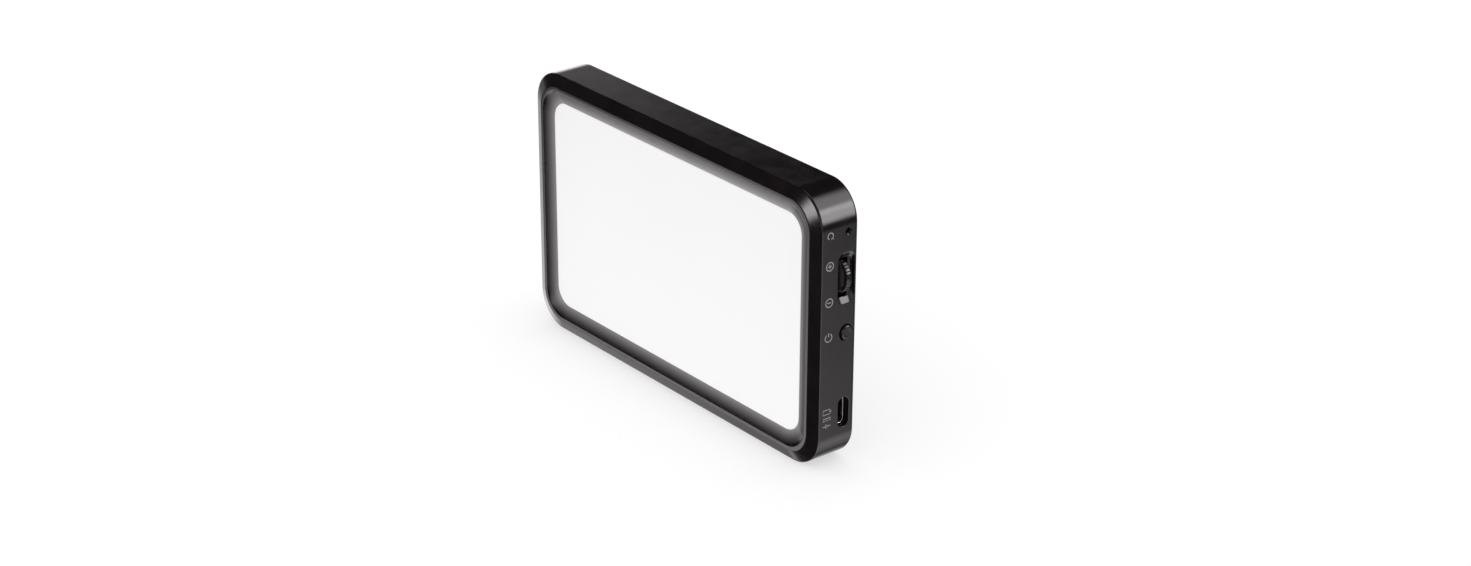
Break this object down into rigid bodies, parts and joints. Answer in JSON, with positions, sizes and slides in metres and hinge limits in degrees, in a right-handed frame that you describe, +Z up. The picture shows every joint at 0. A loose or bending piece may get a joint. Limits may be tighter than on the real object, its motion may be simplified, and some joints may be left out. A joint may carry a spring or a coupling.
{
  "type": "light table",
  "caption": "Slim pocket light table: an evenly lit opal window in a bevelled black frame, with a dimmer wheel, a power button and a charging socket on one side.",
  "frame": {"origin": "on the surface that the part stands on, under the middle of its bounding box", "axes": "+X to the right of the lit window, towards the wall with the controls; +Y from the window to the back; +Z up, with the part standing on a long edge"},
  "size_m": [0.1394, 0.0156, 0.0878],
  "materials": {
    "case_black": "satin black, smooth enough for soft reflections",
    "control_black": "satin black",
    "black_plastic": "matt black",
    "opal": "opal acrylic, lit evenly from behind",
    "white_sheet": "matt white film",
    "clear_acrylic": "clear acrylic",
    "aluminium": "bare sheet",
    "steel": "nickel plated",
    "black_steel": "black oxide",
    "brass": "turned",
    "rubber": "matt black",
    "circuit_board": "green solder mask",
    "white_plastic": "natural white nylon",
    "cell_foil": "laminated foil",
    "ferrite": "dark grey, sintered",
    "red_lead": "red insulation",
    "foam": "grey foam tape",
    "amber_flex": "amber polyimide"
  },
  "bodies": {
    "case": {"front_housing": "case_black", "back_cover": "case_black", "cover_screw_1": "black_steel", "cover_screw_2": "black_steel", "cover_screw_3": "black_steel", "cover_screw_4": "black_steel", "foot_1": "rubber", "foot_2": "rubber", "foot_3": "rubber", "foot_4": "rubber", "diffuser_panel": "opal", "diffusion_film": "white_sheet", "light_guide_plate": "clear_acrylic", "reflector_sheet": "white_sheet", "led_strip_top": "white_plastic", "led_strip_bottom": "white_plastic", "led_flex_top": "amber_flex", "led_flex_bottom": "amber_flex", "stack_tray": "aluminium", "tray_screw_1": "steel", "tray_screw_2": "steel", "tray_screw_3": "steel", "main_board": "circuit_board", "board_screw_1": "steel", "board_screw_2": "steel", "board_screw_3": "steel", "controller_chip": "black_plastic", "charger_chip": "black_plastic", "power_inductor": "ferrite", "capacitor_1": "aluminium", "capacitor_2": "aluminium", "led_socket_top": "white_plastic", "led_socket_bottom": "white_plastic", "battery_cell": "cell_foil", "battery_pad": "foam", "battery_guard_board": "circuit_board", "battery_lead_plus": "red_lead", "battery_lead_minus": "black_plastic", "battery_plug": "white_plastic", "battery_socket": "white_plastic", "encoder_body": "steel", "power_switch_body": "steel", "reset_switch_body": "steel", "usb_c_shell": "steel", "usb_c_tongue": "black_plastic"},
    "wheel": {"thumb_wheel": "control_black", "encoder_rotor": "brass"},
    "button": {"power_button": "control_black"},
    "switch_plunger": {"power_switch_plunger": "white_plastic"},
    "reset": {"reset_plunger": "white_plastic"}
  },
  "joints": [
    {"name": "brightness_wheel", "type": "hinge", "parent": "case", "child": "wheel", "pos_m": [0.0641, 0.00285, 0.0606], "axis": [0, 1, 0], "continuous": true},
    {"name": "power_press", "type": "slide", "parent": "case", "child": "button", "axis": [-1, 0, 0], "range_m": [0, 0.0006], "stiffness_N_per_m": 3300},
    {"name": "power_switch_press", "type": "slide", "parent": "case", "child": "switch_plunger", "axis": [-1, 0, 0], "range_m": [0, 0.0006]},
    {"name": "reset_press", "type": "slide", "parent": "case", "child": "reset", "axis": [-1, 0, 0], "range_m": [0, 0.00025], "stiffness_N_per_m": 6400}
  ],
  "couplings": [
    {"joint": "power_switch_press", "follows": "power_press", "ratio": 1}
  ]
}
